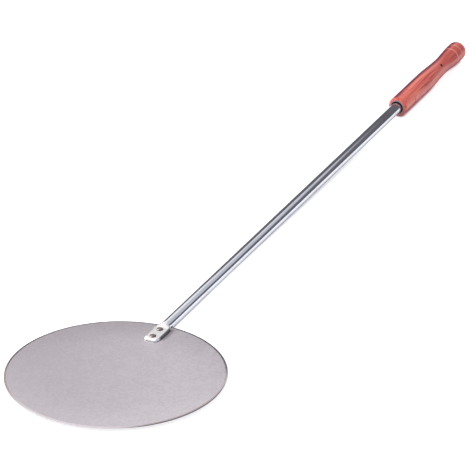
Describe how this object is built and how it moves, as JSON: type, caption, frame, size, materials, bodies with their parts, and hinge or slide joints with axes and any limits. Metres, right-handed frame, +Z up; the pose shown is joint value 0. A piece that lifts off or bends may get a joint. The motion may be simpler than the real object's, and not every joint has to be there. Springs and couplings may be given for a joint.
{
  "type": "pizza peel",
  "caption": "Long-handled pizza peel: flat round steel blade riveted in the slit, pressed end of a chromed steel tube, with a turned, red-stained wooden grip pinned on the far end.",
  "frame": {"origin": "centre of the round blade, on its flat underside", "axes": "+X from the blade's centre along the handle towards the grip, +Z up out of the blade's top face, Y across the blade"},
  "size_m": [1.256, 0.3, 0.0285],
  "materials": {
    "rolled_steel": "dull rolled sheet with a faint mottle",
    "chromed_steel": "bright chromed tube",
    "rivet_steel": "dull dark domed rivet heads",
    "stained_wood": "brick-red stain with a soft sheen, grain along the grip",
    "pin_steel": "dark steel"
  },
  "bodies": {
    "root": {"blade": "rolled_steel", "handle_tube": "chromed_steel", "rivet_front": "rivet_steel", "rivet_rear": "rivet_steel", "grip": "stained_wood", "grip_pin": "pin_steel"}
  },
  "joints": []
}
